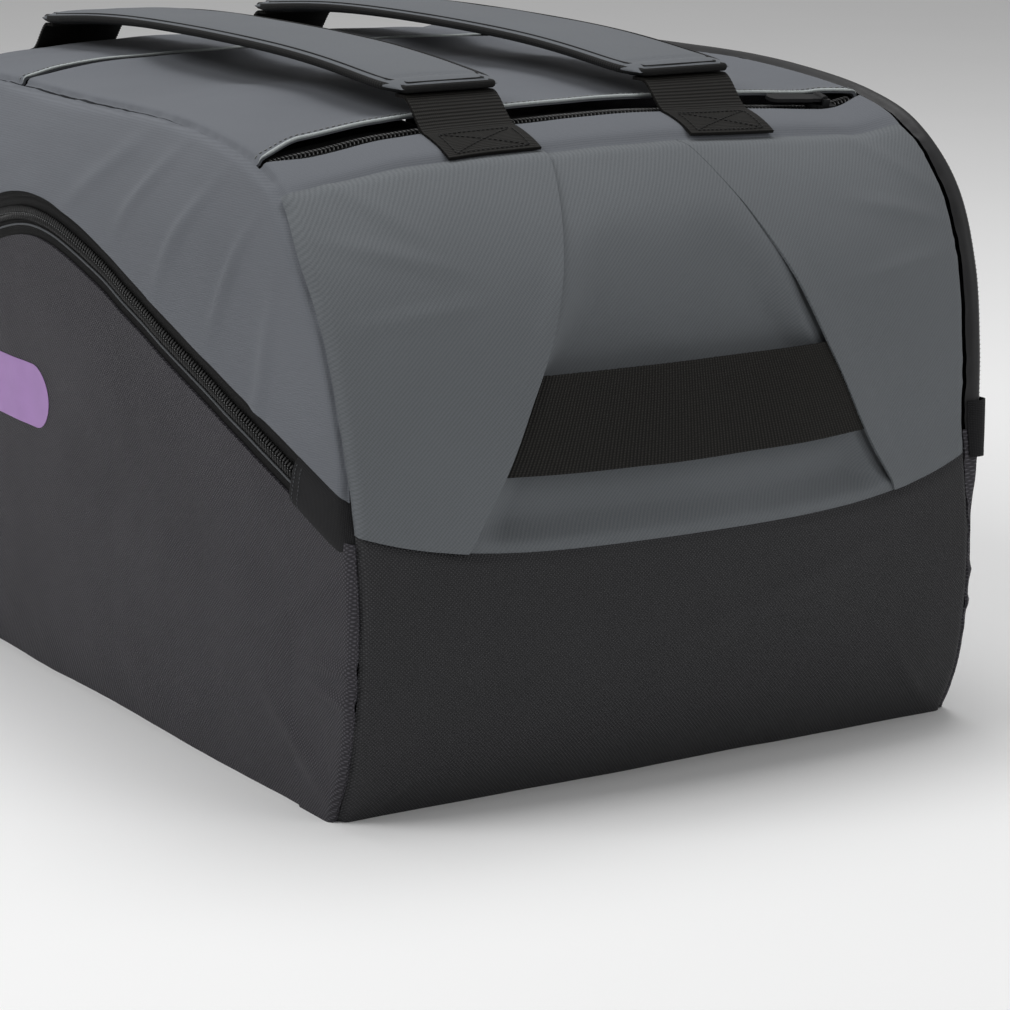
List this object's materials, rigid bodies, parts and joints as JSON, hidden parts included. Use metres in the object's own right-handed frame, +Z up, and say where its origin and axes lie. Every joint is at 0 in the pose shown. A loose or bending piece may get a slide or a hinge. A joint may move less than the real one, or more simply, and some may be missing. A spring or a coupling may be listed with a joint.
{
  "type": "skate bag",
  "caption": "Soft rectangular sports bag with a charcoal coated base, grey woven upper, arched side door, long side door, top zips, padded straps and webbing end handles.",
  "frame": {"origin": "middle of the base, on the ground", "axes": "+X along the bag towards the front end, -Y towards the side with the arched door, +Z up"},
  "size_m": [0.6418, 0.392, 0.332],
  "materials": {
    "coated_fabric": "charcoal coated polyester with a small embossed basket pattern, low sheen",
    "grey_weave": "mid-grey woven polyester with a fine diagonal twill, soft sheen",
    "strap_cover": "mid-grey woven polyester over foam, black bound edges",
    "webbing": "black woven webbing with cross ribs",
    "pale_binding": "pale grey grosgrain binding",
    "zip_chain": "black zip tape with a moulded coil",
    "tab_fabric": "black plain-weave tab",
    "board": "black polyethylene board",
    "lining": "dark grey lining cloth over foam",
    "slider_metal": "black painted zinc, lightly rubbed",
    "puller_rubber": "black moulded rubber with grip ribs",
    "lilac_print": "flat lilac screen print on the coated fabric",
    "thread": "sewing thread"
  },
  "bodies": {
    "bag": {"base_panel": "coated_fabric", "base_board": "board", "divider": "lining", "end_band_front": "coated_fabric", "end_band_rear": "coated_fabric", "end_panel_front": "grey_weave", "end_panel_rear": "grey_weave", "handle_insert_front": "grey_weave", "handle_insert_rear": "grey_weave", "grab_handle_front": "webbing", "grab_handle_rear": "webbing", "top_strip": "grey_weave", "top_panel": "grey_weave", "rear_panel": "grey_weave", "front_binding": "pale_binding", "rear_binding": "pale_binding", "top_zip_front": "zip_chain", "top_zip_rear": "zip_chain", "side_wall_near": "coated_fabric", "side_wall_far": "coated_fabric", "side_panel": "grey_weave", "arch_zip_fixed": "zip_chain", "arch_tabs": "tab_fabric", "long_zip_fixed": "zip_chain", "long_tabs": "tab_fabric"},
    "arch_door": {"door_near": "coated_fabric", "arch_zip_door": "zip_chain"},
    "long_door": {"door_far": "coated_fabric", "long_zip_door": "zip_chain"},
    "arch_slider": {"slider_arch": "slider_metal"},
    "arch_puller": {"puller_arch": "puller_rubber"},
    "long_slider": {"slider_long": "slider_metal"},
    "long_puller": {"puller_long": "puller_rubber"},
    "front_slider": {"slider_front": "slider_metal"},
    "front_puller": {"puller_front": "puller_rubber"},
    "rear_slider": {"slider_rear": "slider_metal"},
    "rear_puller": {"puller_rear": "puller_rubber"},
    "left_front_web": {"web_left_front": "webbing"},
    "left_front_pad": {"strap_left_front": "strap_cover"},
    "left_rear_pad": {"strap_left_rear": "strap_cover"},
    "left_rear_web": {"web_left_rear": "webbing"},
    "right_front_web": {"web_right_front": "webbing"},
    "right_front_pad": {"strap_right_front": "strap_cover"},
    "right_rear_pad": {"strap_right_rear": "strap_cover"},
    "right_rear_web": {"web_right_rear": "webbing"}
  },
  "joints": [
    {"name": "arch_door_fold", "type": "hinge", "parent": "bag", "child": "arch_door", "pos_m": [0, -0.19058, 0.142], "axis": [1, 0, 0], "range_deg": [0, 165]},
    {"name": "long_door_fold", "type": "hinge", "parent": "bag", "child": "long_door", "pos_m": [0, 0.19058, 0.142], "axis": [-1, 0, 0], "range_deg": [0, 140]},
    {"name": "arch_slider_run", "type": "slide", "parent": "bag", "child": "arch_slider", "axis": [0.92, -0.0797, 0.3838], "range_m": [0, 0.119]},
    {"name": "arch_puller_swing", "type": "hinge", "parent": "arch_slider", "child": "arch_puller", "pos_m": [-0.26158, -0.18621, 0.15796], "axis": [-0.385, 0, 0.9229], "range_deg": [0, 150]},
    {"name": "long_slider_run", "type": "slide", "parent": "bag", "child": "long_slider", "axis": [0.1447, 0.0781, 0.9864], "range_m": [0, 0.049]},
    {"name": "long_puller_swing", "type": "hinge", "parent": "long_slider", "child": "long_puller", "pos_m": [-0.28447, 0.18451, 0.15794], "axis": [0.9894, 0, -0.1451], "range_deg": [0, 150]},
    {"name": "front_slider_run", "type": "slide", "parent": "bag", "child": "front_slider", "axis": [0.016, -0.9977, 0.0662], "range_m": [0, 0.045]},
    {"name": "front_puller_swing", "type": "hinge", "parent": "front_slider", "child": "front_puller", "pos_m": [0.20868, 0.1485, 0.3093], "axis": [-0.9722, 0, 0.2341], "range_deg": [0, 150]},
    {"name": "rear_slider_run", "type": "slide", "parent": "bag", "child": "rear_slider", "axis": [0.0004, -0.9995, 0.0322], "range_m": [0, 0.045]},
    {"name": "rear_puller_swing", "type": "hinge", "parent": "rear_slider", "child": "rear_puller", "pos_m": [-0.06706, 0.14824, 0.3185], "axis": [-1, 0, 0], "range_deg": [0, 150]},
    {"name": "left_strap_lift", "type": "hinge", "parent": "bag", "child": "left_front_web", "pos_m": [0.24355, -0.068, 0.3038], "axis": [0, -1, 0], "range_deg": [0, 8]},
    {"name": "left_strap_front_bend", "type": "hinge", "parent": "left_front_web", "child": "left_front_pad", "pos_m": [0.20405, -0.068, 0.324], "axis": [0, -1, 0], "range_deg": [-17.5, 0]},
    {"name": "left_strap_middle_bend", "type": "hinge", "parent": "left_front_pad", "child": "left_rear_pad", "pos_m": [0, -0.068, 0.324], "axis": [0, -1, 0], "range_deg": [0, 18.5]},
    {"name": "left_strap_rear_bend", "type": "hinge", "parent": "left_rear_pad", "child": "left_rear_web", "pos_m": [-0.20405, -0.068, 0.324], "axis": [0, -1, 0], "range_deg": [-17.5, 0]},
    {"name": "right_strap_lift", "type": "hinge", "parent": "bag", "child": "right_front_web", "pos_m": [0.24355, 0.068, 0.3038], "axis": [0, -1, 0], "range_deg": [0, 8]},
    {"name": "right_strap_front_bend", "type": "hinge", "parent": "right_front_web", "child": "right_front_pad", "pos_m": [0.20405, 0.068, 0.324], "axis": [0, -1, 0], "range_deg": [-17.5, 0]},
    {"name": "right_strap_middle_bend", "type": "hinge", "parent": "right_front_pad", "child": "right_rear_pad", "pos_m": [0, 0.068, 0.324], "axis": [0, -1, 0], "range_deg": [0, 18.5]},
    {"name": "right_strap_rear_bend", "type": "hinge", "parent": "right_rear_pad", "child": "right_rear_web", "pos_m": [-0.20405, 0.068, 0.324], "axis": [0, -1, 0], "range_deg": [-17.5, 0]}
  ],
  "couplings": [
    {"joint": "left_strap_front_bend", "follows": "left_strap_lift", "ratio": -2.1056},
    {"joint": "left_strap_middle_bend", "follows": "left_strap_lift", "ratio": 2.2112},
    {"joint": "left_strap_rear_bend", "follows": "left_strap_lift", "ratio": -2.1056},
    {"joint": "right_strap_front_bend", "follows": "right_strap_lift", "ratio": -2.1056},
    {"joint": "right_strap_middle_bend", "follows": "right_strap_lift", "ratio": 2.2112},
    {"joint": "right_strap_rear_bend", "follows": "right_strap_lift", "ratio": -2.1056}
  ]
}
